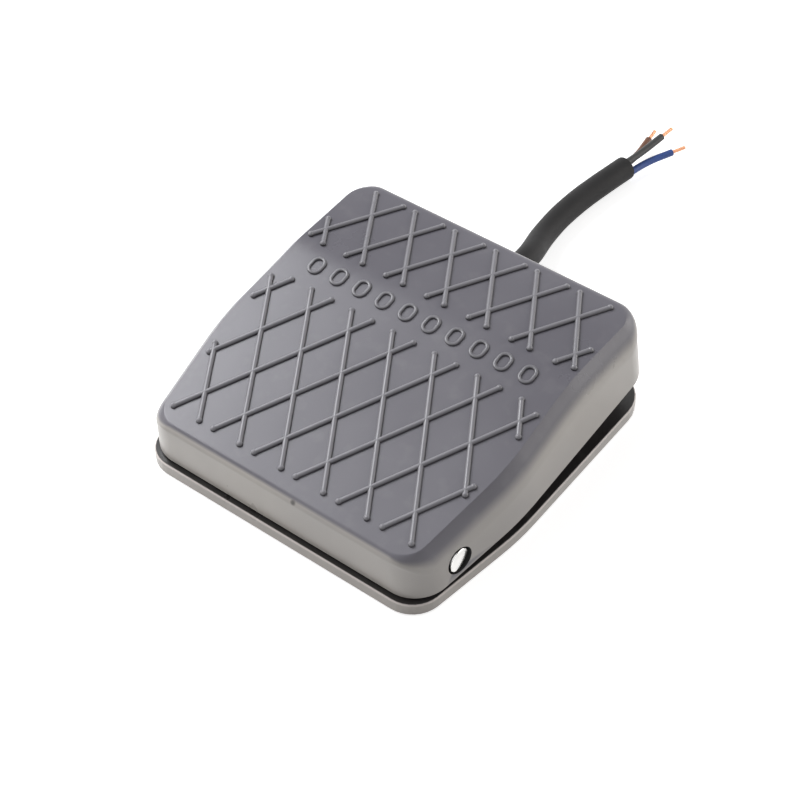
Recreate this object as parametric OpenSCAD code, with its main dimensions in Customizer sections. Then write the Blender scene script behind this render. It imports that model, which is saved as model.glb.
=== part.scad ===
// Foot switch: a ribbed pedal hinged over a moulded base, with a lever microswitch inside.
// Millimetres. The origin is the middle of the footprint, on the surface it stands on.
// X runs across the pedal, Y from the toe end to the cord end, Z up.
// The pedal is drawn at rest, up on its springs.

/* [Base] */
// Width of the base at the cord end
base_w = 100; // [94:1:112]
// Width of the base at the toe end
base_toe_w = 89.2; // [86:0.2:98]
// Length of the base, toe end to cord end
base_l = 101; // [97:1:112]
// Distance from the toe end to where the sides stop widening
taper_l = 37; // [33:1:42]
// Corner radius at the toe end
toe_corner_r = 9; // [5:0.5:10]
// Corner radius at the cord end
heel_corner_r = 12; // [8:1:15]
// Thickness of the floor plate
floor_t = 2.2; // [1.8:0.1:2.8]
// Height of the outer rim above the underside
rim_h = 3.6; // [3.4:0.1:4.2]
// Width of the ledge on top of the rim
ledge_w = 4.4; // [4:0.2:5.2]
// Height of the dust wall above the ledge
upstand_h = 6; // [4:0.5:7]
// Thickness of the dust wall
upstand_t = 1.8; // [1.4:0.1:2.4]
// Small chamfer along the top edge of the rim
rim_chamfer = 0.4; // [0.2:0.1:0.6]

/* [Pedal shell] */
// Wall thickness of the pedal
pedal_t = 2.2; // [1.8:0.1:2.6]
// Height of the crest above the skirt's foot
crest_h = 21.1; // [20:0.2:24]
// Distance from the crest to the skirt's cord end
crest_back = 31.8; // [28:0.2:36]
// Rise of the tread from the toe to the crest, in degrees
toe_slope = 5.9; // [4.5:0.1:6.5]
// Fall of the tread from the crest to the cord end, in degrees
heel_slope = 4.4; // [2.5:0.1:5.5]
// Length over which the crest is rounded
crest_blend = 2.6; // [0.8:0.2:6]
// Tilt of the pedal at rest, in degrees, which is its whole travel
rest_tilt = 5.7; // [4.5:0.1:6.2]
// Lean of the side skirts, in degrees
side_draft = 6.5; // [4:0.5:8]
// Lean of the toe skirt, in degrees
toe_draft = 2; // [0:0.5:4]
// Lean of the skirt at the cord end, in degrees
heel_draft = 0.5; // [0:0.5:2]
// Radius of the round shoulders along the sides
shoulder_r = 14; // [11:0.5:15]
// Angle at which a shoulder meets the tread in a crisp line, in degrees
shoulder_edge = 45; // [40:1:55]
// Corner radius of the skirt at its foot
skirt_corner_r = 10.3; // [7:0.1:12]
// Corner radius of the tread
tread_corner_r = 6.7; // [5:0.1:9]
// Edge radius along the toe
toe_edge_r = 2; // [1:0.2:3]
// Edge radius along the cord end
heel_edge_r = 2.8; // [1.5:0.1:4]
// Gap between the skirt's foot and the ledge at the toe, at rest
skirt_gap = 0.3; // [0.2:0.1:0.6]
// Setback of the skirt from the base at the toe end
toe_setback = 1.6; // [1.2:0.1:2.2]
// Setback of the skirt from the base at the cord end
heel_setback = 0.8; // [0.6:0.1:1.4]
// Setback of the skirt from the base at the sides
side_setback = 0.1; // [0:0.1:0.6]

/* [Tread ribs] */
// Spacing of the diamonds across the pedal
rib_pitch = 13.5; // [12:0.5:16]
// Angle of the ribs to the toe edge, in degrees
rib_angle = 60; // [50:1:65]
// Width of a rib
rib_w = 1.6; // [1.2:0.1:2]
// Height of a rib
rib_h = 0.8; // [0.5:0.1:1.1]
// Plain margin between the ribs and the sides of the skirt
rib_margin = 7.2; // [7:0.1:10]
// Number of ribs each way on the toe field
toe_ribs = 8; // [4:1:9]
// Number of ribs each way on the cord end field
heel_ribs = 7; // [4:1:8]
// Number of grip marks in the band between the two fields
mark_count = 10; // [4:1:12]
// Height of a grip mark
mark_l = 6; // [4:0.5:7]
// Width of a grip mark
mark_w = 4.4; // [3:0.2:5]
// Width of the raised line round a grip mark
mark_line = 0.9; // [0.6:0.1:1.2]
// Height of the raised line round a grip mark
mark_h = 0.5; // [0.3:0.1:0.8]

/* [Hinge] */
// Diameter of the hinge pin
pin_d = 7; // [5:0.5:7.5]
// Distance from the toe end to the pin
pin_y = 15.5; // [14.5:0.5:18]
// Height of the pin above the surface
pin_z = 11; // [10.5:0.1:11.5]
// Wall round a pin hole
boss_wall = 3; // [2.4:0.2:3.4]
// Thickness of the hinge cheeks on the base
cheek_t = 5.5; // [4:0.5:7]
// Depth from the skin of the pedal to the end of the pin
pin_recess = 0.4; // [0.2:0.1:1]
// Radial running clearance of the pedal on the pin
pin_clear = 0.06; // [0.04:0.01:0.1]
// Thickness of the nylon washers beside the cheeks
washer_t = 0.9; // [0.6:0.1:1.2]

/* [Return springs] */
// Wire diameter
wire_d = 1.2; // [0.9:0.1:1.4]
// Mean diameter of the coil
coil_d = 12; // [11:0.5:14]
// Number of turns
coil_turns = 8; // [6:1:9]
// Distance of each spring from the side of the base
spring_side = 24; // [22:1:28]
// Distance of the springs from the cord end
spring_back = 23; // [21:1:26]

/* [Microswitch] */
// Length of the case
case_l = 19.8; // [19.4:0.1:21]
// Thickness of the case
case_w = 6.4; // [6:0.1:7]
// Height of the case
case_h = 10.2; // [10:0.1:10.6]
// Distance from the middle of the case to the cord end of the base
case_back = 51.6; // [50:0.2:53]
// Height of the case's underside above the surface
case_z = 8.6; // [8.2:0.1:8.8]
// Length of the lever from its hinge
lever_l = 19; // [18:0.5:20]
// Thickness of the lever
lever_t = 0.4; // [0.3:0.1:0.5]

/* [Cord] */
// Diameter of the cord
cord_d = 7.4; // [6.4:0.2:7.8]
// Diameter of an insulated core
core_d = 2.2; // [1.8:0.1:2.4]
// Diameter of the bare copper
copper_d = 1.2; // [0.9:0.1:1.3]

/* [Fixings] */
// Diameter of the rubber feet
foot_d = 12; // [9:1:14]
// Distance that the feet stand out below the base
foot_proud = 0.4; // [0.3:0.1:1]
// Diameter of the two holes for fixing the base down
mount_hole_d = 4.4; // [3.4:0.2:5.4]
// Spacing of the two fixing holes
mount_pitch = 64; // [56:1:68]
// Distance from the toe end to the fixing holes
mount_y = 48; // [42:1:54]

/* [Hidden] */

// Overrun of every cut, and the fineness of exact rounds
over = 0.5;
$fn = 48;
arc_steps = 8;

// Colours
grey = [0.60, 0.59, 0.58];
tread_grey = [0.47, 0.47, 0.50];
rubber = [0.12, 0.12, 0.12];
steel = [0.78, 0.78, 0.76];
brass = [0.80, 0.66, 0.36];
copper = [0.80, 0.46, 0.28];
switch_black = [0.16, 0.16, 0.17];
switch_red = [0.62, 0.16, 0.12];
nylon = [0.88, 0.87, 0.82];

// Levels and lines shared by all pieces
toe = -base_l / 2;
heel = base_l / 2;
floor_z = foot_proud + floor_t;
ledge_z = foot_proud + rim_h;
upstand_top = ledge_z + upstand_h;
skirt_z = ledge_z + skirt_gap;
pedal_l = base_l - toe_setback - heel_setback;
crest_y = pedal_l - crest_back;
wall_out_y = heel - ledge_w;
wall_in_y = wall_out_y - upstand_t;

// Where the foot of the toe skirt comes to when the pedal is fully down
foot_arm = [toe_setback - pin_y, skirt_z - pin_z];
down_y = toe + pin_y + foot_arm.x * cos(rest_tilt) + foot_arm.y * sin(rest_tilt);
down_z = pin_z - foot_arm.x * sin(rest_tilt) + foot_arm.y * cos(rest_tilt);

// Vector helpers
function unit(v) = v / norm(v);
function joined(lists) = [for (l = lists) each l];
function lerp(a, b, t) = a + (b - a) * t;

// Points of an arc of radius r that rounds the corner p between a and b
function corner(a, p, b, r, n) =
    let (u = unit(a - p), v = unit(b - p), half = acos(u * v) / 2,
         c = p + unit(u + v) * r / sin(half),
         s = p + u * r / tan(half) - c, e = p + v * r / tan(half) - c,
         a0 = atan2(s.y, s.x), turn = atan2(e.y, e.x) - a0,
         sweep = turn > 180 ? turn - 360 : turn < -180 ? turn + 360 : turn)
    [for (i = [0:n]) c + r * [cos(a0 + sweep * i / n), sin(a0 + sweep * i / n)]];

// Half width of the base at a distance from the toe end
function half_w(y) = y < taper_l ? lerp(base_toe_w, base_w, y / taper_l) / 2 : base_w / 2;
taper_rate = (base_w - base_toe_w) / 2 / taper_l;

// Outline of the base, drawn in by a distance all round. The sides bend in one long arc.
bend_r = 90;
bend_steps = 4;
function plan(inset) =
    let (right = [[0, inset], [half_w(inset) - inset, inset], [base_w / 2 - inset, taper_l],
                  [base_w / 2 - inset, base_l - inset], [0, base_l - inset]],
         half = joined([corner(right[0], right[1], right[2], toe_corner_r - min(inset, toe_corner_r / 2), arc_steps),
                        corner(right[1], right[2], right[3], bend_r, bend_steps),
                        corner(right[2], right[3], right[4], heel_corner_r - min(inset, heel_corner_r / 2), arc_steps)]))
    concat([for (p = half) [p.x, p.y + toe]],
           [for (i = [len(half) - 1:-1:0]) [-half[i].x, half[i].y + toe]]);

// Height of the tread above the skirt's foot, and the size of its rounded shoulders
function tread_z(y) =
    let (u = y - crest_y)
    crest_h + tan(toe_slope) * u - (tan(toe_slope) + tan(heel_slope)) / 2 * (u + sqrt(u * u + crest_blend * crest_blend));
function shoulder_drop(r) = r * (sin(shoulder_edge) - sin(side_draft));

// How far a level of the shell lies in from the skirt's foot and down from the tread:
// share 1 is the foot of the rounding and share 0 its upper edge
function side_in(share, h, r) =
    let (drop = shoulder_drop(r), a = asin(sin(shoulder_edge) - share * drop / r))
    [tan(side_draft) * (h - drop) + r * (cos(side_draft) - cos(a)), share * drop];
function edge_in(share, h, r, draft) =
    [tan(draft) * (h - r) + r * (1 - sqrt(1 - pow(1 - share, 2))), share * r];

// One half of a ring of the shell, from the toe to the cord end
function pedal_half_w(y) = half_w(y + toe_setback) - side_setback;
crest_station_shares = [-1.5, -0.5, 0.5, 1.5];
function half_ring(share, t) =
    let (h = tread_z(0) - t, hh = tread_z(pedal_l) - t,
         side = side_in(share, h, shoulder_r - t), side_h = side_in(share, hh, shoulder_r - t),
         front = edge_in(share, h, max(toe_edge_r - t, over), toe_draft),
         back = edge_in(share, hh, max(heel_edge_r - t, over), heel_draft),
         y0 = t + front[0], y1 = pedal_l - t - back[0],
         corner_r = lerp(tread_corner_r, skirt_corner_r, share) - t,
         p1 = [pedal_half_w(y0) - t - side[0], y0],
         p2 = [pedal_half_w(taper_l) - t - side[0], taper_l - toe_setback],
         p3 = [pedal_half_w(y1) - t - side_h[0], y1],
         c1 = corner([0, y0], p1, p2, corner_r, arc_steps),
         bend = corner(p1, p2, p3, bend_r, bend_steps),
         c2 = corner(p2, p3, [0, y1], corner_r, arc_steps))
    joined([[for (i = [0:arc_steps]) let (m = pow(sin(90 * i / arc_steps), 2))
                [c1[i].x, c1[i].y, tread_z(c1[i].y) - t - lerp(front[1], side[1], m)]],
            [for (p = bend) [p.x, p.y, tread_z(p.y) - t - side[1]]],
            [for (s = crest_station_shares) let (y = crest_y + s * crest_blend,
                in = side_in(share, tread_z(y) - t, shoulder_r - t))
                [pedal_half_w(y) - t - in[0], y, tread_z(y) - t - in[1]]],
            [for (i = [0:arc_steps]) let (m = pow(cos(90 * i / arc_steps), 2))
                [c2[i].x, c2[i].y, tread_z(c2[i].y) - t - lerp(back[1], side_h[1], m)]]]);

// The foot of the skirt, with as many points as the rings above it
function half_foot(t, z) =
    let (corner_r = skirt_corner_r - t,
         p1 = [pedal_half_w(t) - t, t], p2 = [pedal_half_w(taper_l) - t, taper_l - toe_setback],
         p3 = [pedal_half_w(pedal_l) - t, pedal_l - t],
         flat = joined([corner([0, t], p1, p2, corner_r, arc_steps), corner(p1, p2, p3, bend_r, bend_steps),
                        [for (s = crest_station_shares) [pedal_half_w(crest_y) - t, crest_y + s * crest_blend]],
                        corner(p2, p3, [0, pedal_l - t], corner_r, arc_steps)]))
    [for (p = flat) [p.x, p.y, z]];
function whole(half) = concat(half, [for (i = [len(half) - 1:-1:0]) [-half[i].x, half[i].y, half[i].z]]);

// Closed solid through rings that mirror left to right, capped by level strips
module lofted(rings) {
    n = len(rings[0]);
    last = len(rings) - 1;
    polyhedron(
        points = joined(rings),
        faces = joined([
            [[for (i = [0:n - 1]) i]],
            [for (k = [0:last - 1], i = [0:n - 1]) [k * n + i, (k + 1) * n + i, (k + 1) * n + (i + 1) % n]],
            [for (k = [0:last - 1], i = [0:n - 1]) [k * n + i, (k + 1) * n + (i + 1) % n, k * n + (i + 1) % n]],
            [for (i = [0:n / 2 - 2])
                [last * n + i, last * n + n - 1 - i, last * n + n - 2 - i, last * n + i + 1]]]));
}

outer_level_shares = [1, 0.8, 0.6, 0.42, 0.26, 0.12, 0.04, 0];
inner_level_shares = [1, 0.6, 0.25, 0];
module pedal_outer()
    lofted(concat([whole(half_foot(0, 0))], [for (s = outer_level_shares) whole(half_ring(s, 0))]));
module pedal_inner()
    lofted(concat([whole(half_foot(pedal_t, -over))], [for (s = inner_level_shares) whole(half_ring(s, pedal_t))]));

// Frames: the pedal at rest, the pedal as it lies when it is down, and the two slopes of its tread
module pedal_at_rest()
    translate([0, toe + toe_setback, skirt_z]) rotate([rest_tilt, 0, 0]) children();
module placed_when_down() translate([0, -down_y, -down_z]) children();
module on_toe_slope() translate([0, crest_y, crest_h]) rotate([toe_slope, 0, 0]) children();
module on_heel_slope() translate([0, crest_y, crest_h]) rotate([-heel_slope, 0, 0]) children();

// Tread ribs. A rib runs along a straight line across a slope, x = c + lean * s, cut off
// where it meets the field's ends or the plain margin along the sides.
rib_run = tan(rib_angle);
field_gap_toe = 12;
field_start_toe = 6.65;
field_gap_heel = 2.4;
field_end_heel = 4.8;
toe_row_back = 29.4;
heel_row_ahead = 7.2;
rib_sink = 0.7;
rib_profile_shares = [[-0.5, 0], [-0.5, 0.3], [-0.34, 0.78], [-0.12, 1], [0.12, 1], [0.34, 0.78], [0.5, 0.3], [0.5, 0]];
function side_limit(y) = pedal_half_w(y) - rib_margin;

function rib_ends(c, lean, s0, s1, slope) =
    let (k = lean / rib_run, flat = side_limit(taper_l), rate = taper_rate * cos(slope),
         wide = flat + rate * (crest_y + toe_setback - taper_l) / cos(slope),
         lo = max(s0, (-lean * flat - c) / k, (-lean * wide - c) / (k + lean * rate)),
         hi = min(s1, (lean * flat - c) / k, (lean * wide - c) / (k - lean * rate)))
    [[c + k * lo, lo], [c + k * hi, hi]];

module rib(ends) {
    run = ends[1] - ends[0];
    section = [for (p = rib_profile_shares) [p.x * rib_w, p.y * rib_h]];
    side = [for (p = section) [p.x < 0 ? p.x : norm(run) + p.x, p.y]];
    translate([ends[0].x, ends[0].y, 0]) rotate([0, 0, atan2(run.y, run.x)]) intersection() {
        translate([-rib_w, 0, 0]) rotate([90, 0, 90]) linear_extrude(norm(run) + 2 * rib_w)
            polygon(concat([[-rib_w / 2, -rib_sink]], section, [[rib_w / 2, -rib_sink]]));
        translate([0, rib_w, 0]) rotate([90, 0, 0]) linear_extrude(2 * rib_w)
            polygon(concat([[-rib_w / 2, -rib_sink]], side, [[norm(run) + rib_w / 2, -rib_sink]]));
    }
}

toe_s0 = (field_start_toe - crest_y) / cos(toe_slope);
toe_s1 = -field_gap_toe / cos(toe_slope);
module toe_ribs_all() {
    row = -toe_row_back / cos(toe_slope);
    mid = (toe_ribs + 1) / 2;
    for (i = [1:toe_ribs]) {
        rib(rib_ends((i - mid) * rib_pitch - row / rib_run, 1, toe_s0, toe_s1, toe_slope));
        rib(rib_ends((i - mid) * rib_pitch + row / rib_run, -1, toe_s0, toe_s1, toe_slope));
    }
}

heel_s0 = field_gap_heel / cos(heel_slope);
heel_s1 = (pedal_l - field_end_heel - crest_y) / cos(heel_slope);
module heel_ribs_all() {
    row = heel_row_ahead / cos(heel_slope);
    mid = (heel_ribs + 1) / 2;
    for (i = [1:heel_ribs]) {
        rib(rib_ends((i - mid) * rib_pitch - row / rib_run, 1, heel_s0, heel_s1, heel_slope));
        rib(rib_ends((i - mid) * rib_pitch + row / rib_run, -1, heel_s0, heel_s1, heel_slope));
    }
}

// Plain raised loops in the band between the two rib fields, for grip
mark_y = -4.8;
mark_step = 7.6;
mark_steps = 6;
function oval(w, l) = [for (s = [1, -1], i = [0:mark_steps]) let (a = 180 * i / mark_steps + (s < 0 ? 180 : 0))
    [w / 2 * cos(a), w / 2 * sin(a) + s * (l - w) / 2]];
module grip_marks()
    for (i = [0:mark_count - 1])
        translate([(i - (mark_count - 1) / 2) * mark_step, mark_y, -rib_sink])
            linear_extrude(rib_sink + mark_h) difference() {
                polygon(oval(mark_w, mark_l));
                polygon(oval(mark_w - 2 * mark_line, mark_l - 2 * mark_line));
            }

// Pedal: bosses and posts inside it, drawn where they are when it is fully down
boss_r = pin_d / 2 + boss_wall;
boss_l = 4.65;
boss_in_x = half_w(pin_y) - boss_l;
cheek_out_x = boss_in_x - washer_t;
pin_end_x = half_w(pin_y) - side_setback - tan(side_draft) * (pin_z - down_z) - pin_recess;
case_mid = heel - case_back;
lever_hinge_back = 8.4;
lever_hinge_up = 0.8;
lever_arm = 17;
switch_hinge = [case_mid - lever_hinge_back, case_z + case_h + lever_hinge_up];
press_y = switch_hinge.x + lever_arm;
post_play = 0.35;
screw_d = 3;
screw_l = 4.8;
screw_tip_z = 19.7;
nut_af = 5.5;
nut_t = 1.8;
nut_z = 20.7;
driver_af = 1.5;
driver_l = 1.6;
thread_clear = 0.02;
actuator_boss_d = 9;
inside_top = down_z + crest_h;
spring_mid = heel - spring_back;
spring_x = base_w / 2 - spring_side;
spring_seat_z = 26.5;
seat_d = coil_d + wire_d + 1.8;
post_d = coil_d - wire_d - 1.6;
post_l = 4;
buffer_inset = 12;
buffer_x = base_w / 2 - buffer_inset;
buffer_y = heel - buffer_inset;
buffer_d = 7;
buffer_l = 6;
rib_inside_t = 1.6;
rib_inside_l = 3;
rib_inside_xs = [-13.5, 13.5];
rib_inside_backs = [68, 31];
cord_x = -4;
cord_z = 8.6;
sleeve_root_d = 11.4;
sleeve_tip_d = 8.8;
notch_clear = 0.9;

module pedal_fittings() {
    placed_when_down() {
        for (s = [-1, 1]) {
            translate([s * boss_in_x, toe + pin_y, pin_z]) rotate([0, s * 90, 0])
                cylinder(r = boss_r, h = base_w / 2 - boss_in_x);
            translate([s * buffer_x, buffer_y, floor_z + buffer_l + post_play])
                cylinder(d = buffer_d - 1, h = inside_top - floor_z - buffer_l);
        }
        translate([0, press_y, nut_z + nut_t]) cylinder(d = actuator_boss_d, h = inside_top - nut_z);
    }
    rotate([-rest_tilt, 0, 0]) translate([0, -toe - toe_setback, -skirt_z])
        for (s = [-1, 1]) translate([s * spring_x, spring_mid, spring_seat_z]) {
            cylinder(d = seat_d, h = crest_h);
            translate([0, 0, -post_l]) cylinder(d = post_d, h = post_l + over);
        }
}

module pedal_stiffeners() {
    h0 = tread_z(0) - pedal_t - rib_inside_l;
    for (x = rib_inside_xs) translate([x - rib_inside_t / 2, pedal_t, 0]) rotate([90, 0, 90])
        linear_extrude(rib_inside_t) polygon([
            [0, h0], [crest_y - pedal_t, tread_z(crest_y) - pedal_t - rib_inside_l],
            [pedal_l - 2 * pedal_t, tread_z(pedal_l) - pedal_t - rib_inside_l],
            [pedal_l - 2 * pedal_t, crest_h], [0, crest_h]]);
    placed_when_down() for (back = rib_inside_backs)
        translate([-base_w / 2, heel - back, down_z + tread_z(heel - back - down_y) - pedal_t - rib_inside_l])
            cube([base_w, rib_inside_t, crest_h]);
}

module pedal_cover() color(tread_grey) pedal_at_rest() {
    difference() {
        pedal_outer();
        difference() {
            pedal_inner();
            pedal_fittings();
            pedal_stiffeners();
        }
        placed_when_down() {
            translate([-base_w, toe + pin_y, pin_z]) rotate([0, 90, 0])
                cylinder(r = pin_d / 2 + pin_clear, h = 2 * base_w);
            translate([0, press_y, screw_tip_z]) cylinder(d = screw_d + 2 * thread_clear, h = screw_l);
            translate([cord_x, wall_out_y, cord_z]) rotate([-90, 0, 0])
                cylinder(d = sleeve_root_d + 2 * notch_clear, h = base_l);
            translate([cord_x - sleeve_root_d / 2 - notch_clear, wall_out_y, 0])
                cube([sleeve_root_d + 2 * notch_clear, base_l, cord_z]);
        }
    }
    on_toe_slope() {
        toe_ribs_all();
        grip_marks();
    }
    on_heel_slope() heel_ribs_all();
}

module actuator_screw() color(steel) pedal_at_rest() placed_when_down()
    translate([0, press_y, screw_tip_z]) difference() {
        cylinder(d = screw_d, h = screw_l);
        translate([0, 0, -over]) cylinder(d = driver_af / cos(30), h = driver_l + over, $fn = 6);
    }

module lock_nut() color(steel) pedal_at_rest() placed_when_down()
    translate([0, press_y, nut_z]) difference() {
        cylinder(d = nut_af / cos(30), h = nut_t, $fn = 6);
        translate([0, 0, -over]) cylinder(d = screw_d + 2 * thread_clear, h = nut_t + 2 * over);
    }

// Base
cheek_r = pin_d / 2 + 2.3;
cheek_in_x = cheek_out_x - cheek_t;
cheek_foot = 8.8;
relief = boss_r + 0.6;
cheek_clear = 0.02;
tower_w = 18;
tower_z = 16;
saddle_w = 25;
saddle_l = 7;
saddle_back = 16;
saddle_y = heel - saddle_back;
saddle_gap = 0.6;
cord_clear = 0.05;
clamp_screw_x = 9;
clamp_screw_d = 3;
clamp_h = 5;
pilot_d = 2.6;
wall_x = case_w / 2;
wall_t = 3;
wall_z = 16.2;
switch_hole_pitch = 9.5;
switch_hole_z = case_z + 2.9;
switch_screw_d = 2;
switch_screw_clear = 0.15;
foot_recess = 1.2;
foot_play = 0.05;
foot_inset = 10.5;
foot_end_inset = 12;
foot_places = [[half_w(foot_end_inset) - foot_inset, toe + foot_end_inset],
               [base_w / 2 - foot_end_inset, heel - foot_end_inset]];
cup_wall = 1.5;
cup_h = 1.5;
mount_boss_d = 9;
mount_boss_h = 1.4;
gland_neck_d = 10;
gland_clear = 0.05;
buttress_l = 7;
buttress_t = 2;

module along_x(d, from, to) translate([from, 0, 0]) rotate([0, 90, 0]) cylinder(d = d, h = to - from);
module both_sides() { children(); mirror([1, 0, 0]) children(); }

module dust_wall() difference() {
    translate([0, 0, foot_proud]) linear_extrude(upstand_top - foot_proud) polygon(plan(ledge_w));
    translate([0, 0, floor_z]) linear_extrude(upstand_top) polygon(plan(ledge_w + upstand_t));
}

module base_plate() {
    translate([0, 0, foot_proud]) linear_extrude(rim_h - rim_chamfer) polygon(plan(0));
    hull() {
        translate([0, 0, ledge_z - 2 * rim_chamfer]) linear_extrude(rim_chamfer) polygon(plan(0));
        translate([0, 0, ledge_z - rim_chamfer]) linear_extrude(rim_chamfer) polygon(plan(rim_chamfer));
    }
}

module cheeks() both_sides() {
    intersection() {
        translate([0, 0, foot_proud]) linear_extrude(base_l) polygon(plan(ledge_w));
        translate([cheek_in_x, toe + pin_y - cheek_foot, floor_z - over])
            cube([cheek_t + ledge_w, 2 * cheek_foot, upstand_top - floor_z + over]);
    }
    translate([0, toe + pin_y, pin_z]) along_x(2 * cheek_r, cheek_in_x, cheek_out_x);
}

module switch_wall() {
    len = case_l;
    translate([wall_x, case_mid - len / 2, floor_z - over]) cube([wall_t, len, wall_z - floor_z + over]);
    for (y = [case_mid - len / 2, case_mid + len / 2 - buttress_t])
        translate([wall_x + wall_t - over, y + buttress_t, floor_z - over]) rotate([90, 0, 0])
            linear_extrude(buttress_t) polygon([[0, 0], [buttress_l + over, 0], [0, wall_z - floor_z]]);
}

module base_tray() color(grey) difference() {
    union() {
        difference() {
            union() {
                base_plate();
                dust_wall();
            }
            translate([0, 0, floor_z]) linear_extrude(base_l) polygon(plan(ledge_w + upstand_t));
        }
        cheeks();
        switch_wall();
        translate([cord_x - tower_w / 2, wall_in_y, ledge_z - over])
            cube([tower_w, upstand_t, tower_z - ledge_z + over]);
        translate([cord_x - saddle_w / 2, saddle_y, floor_z - over])
            cube([saddle_w, saddle_l, cord_z - saddle_gap / 2 - floor_z + over]);
        both_sides() {
            translate([spring_x, spring_mid, floor_z - over]) cylinder(d = post_d, h = post_l + over);
            translate([buffer_x, buffer_y, floor_z - over]) cylinder(d = buffer_d + 2 * cup_wall, h = cup_h + over);
            translate([mount_pitch / 2, toe + mount_y, floor_z - over])
                cylinder(d = mount_boss_d, h = mount_boss_h + over);
        }
    }
    both_sides() {
        translate([cheek_out_x, toe + pin_y - relief, ledge_z]) cube([base_w, 2 * relief, base_l]);
        translate([0, toe + pin_y, pin_z]) along_x(pin_d + 2 * cheek_clear, cheek_in_x - over, cheek_out_x + over);
        translate([buffer_x, buffer_y, floor_z]) cylinder(d = buffer_d + 2 * foot_play, h = buffer_l);
        translate([mount_pitch / 2, toe + mount_y, 0]) cylinder(d = mount_hole_d, h = base_l);
        for (p = foot_places) translate([p.x, p.y, 0])
            cylinder(d = foot_d + 2 * foot_play, h = foot_proud + foot_recess);
    }
    for (s = [-1, 1]) {
        translate([0, case_mid + s * switch_hole_pitch / 2, switch_hole_z])
            along_x(switch_screw_d + 2 * switch_screw_clear, 0, wall_x + wall_t + over);
        translate([cord_x + s * clamp_screw_x, saddle_y + saddle_l / 2, floor_z + over])
            cylinder(d = pilot_d, h = cord_z);
    }
    translate([cord_x, saddle_y - over, cord_z]) rotate([-90, 0, 0])
        cylinder(d = cord_d + 2 * cord_clear, h = saddle_l + 2 * over);
    translate([cord_x, wall_in_y - over, cord_z]) rotate([-90, 0, 0])
        cylinder(d = gland_neck_d + 2 * gland_clear, h = upstand_t + 2 * over);
    translate([cord_x, wall_out_y, cord_z]) rotate([-90, 0, 0])
        cylinder(d = sleeve_root_d + 2 * gland_clear + 2 * over, h = base_l);
}

module rubber_feet() color(rubber) both_sides() for (p = foot_places)
    translate([p.x, p.y, 0]) cylinder(d = foot_d, h = foot_proud + foot_recess);

groove_w = 0.9;
groove_d = 5.6;
module hinge_pin() color(steel) translate([0, toe + pin_y, pin_z]) difference() {
    along_x(pin_d, -pin_end_x, pin_end_x);
    both_sides() translate([cheek_in_x - groove_w, 0, 0]) difference() {
        along_x(pin_d + 2 * over, 0, groove_w);
        along_x(groove_d, -over, groove_w + over);
    }
}

washer_clear = 0.05;
washer_d = 10.4;
module pin_washers() color(nylon) translate([0, toe + pin_y, pin_z]) both_sides() difference() {
    along_x(washer_d, cheek_out_x, boss_in_x);
    along_x(pin_d + 2 * washer_clear, cheek_out_x - over, boss_in_x + over);
}

clip_d = 10.4;
clip_t = 0.8;
clip_mouth_share = 0.62;
module pin_clips() color(steel) translate([0, toe + pin_y, pin_z]) both_sides() difference() {
    along_x(clip_d, cheek_in_x - clip_t, cheek_in_x);
    along_x(groove_d + 2 * washer_clear, cheek_in_x - clip_t - over, cheek_in_x + over);
    translate([cheek_in_x - clip_t - over, -groove_d * clip_mouth_share / 2, -clip_d])
        cube([clip_t + 2 * over, groove_d * clip_mouth_share, clip_d]);
}

// Return springs: one unbroken wire each, with closer end turns
rings_per_turn = 8;
wire_sides = 6;
end_pitch = wire_d + 0.6;
spring_play = 0.02;
spring_rise = spring_seat_z - floor_z - wire_d - 2 * spring_play;
mid_pitch = (spring_rise - 2 * end_pitch) / (coil_turns - 2);
function coil_z(t) = floor_z + spring_play + wire_d / 2 +
    (t < 1 ? end_pitch * t : t > coil_turns - 1 ? spring_rise - end_pitch * (coil_turns - t)
                                                : end_pitch + mid_pitch * (t - 1));
function coil_point(t) = [coil_d / 2 * cos(360 * t), coil_d / 2 * sin(360 * t), coil_z(t)];
coil_points = [for (k = [0:coil_turns * rings_per_turn]) coil_point(k / rings_per_turn)];
echo(least_gap_of_the_spring_to_itself = min([for (a = [0:len(coil_points) - 1],
    b = [a + rings_per_turn / 2:1:len(coil_points) - 1]) norm(coil_points[a] - coil_points[b])]) - wire_d);

// Tube of n sides along a list of points
function tangents(p) = [for (i = [0:len(p) - 1]) unit(p[min(i + 1, len(p) - 1)] - p[max(i - 1, 0)])];
module tube(path, d, n) {
    dirs = tangents(path);
    polyhedron(
        points = [for (i = [0:len(path) - 1]) let (t = dirs[i], s = unit(cross(t, abs(t.z) > 0.9 ? [1, 0, 0] : [0, 0, 1])), u = cross(s, t))
                     for (k = [0:n - 1]) path[i] + d / 2 * (s * cos(360 * (k + 0.5) / n) + u * sin(360 * (k + 0.5) / n))],
        faces = concat([[for (k = [0:n - 1]) k]],
            [for (i = [0:len(path) - 2], k = [0:n - 1]) [i * n + k, (i + 1) * n + k, (i + 1) * n + (k + 1) % n]],
            [for (i = [0:len(path) - 2], k = [0:n - 1]) [i * n + k, (i + 1) * n + (k + 1) % n, i * n + (k + 1) % n]],
            [[for (k = [n - 1:-1:0]) (len(path) - 1) * n + k]]));
}
module return_spring(x) color(steel) translate([x, spring_mid, 0]) tube(coil_points, wire_d, wire_sides);
module return_spring_left() return_spring(-spring_x);
module return_spring_right() return_spring(spring_x);

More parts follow.
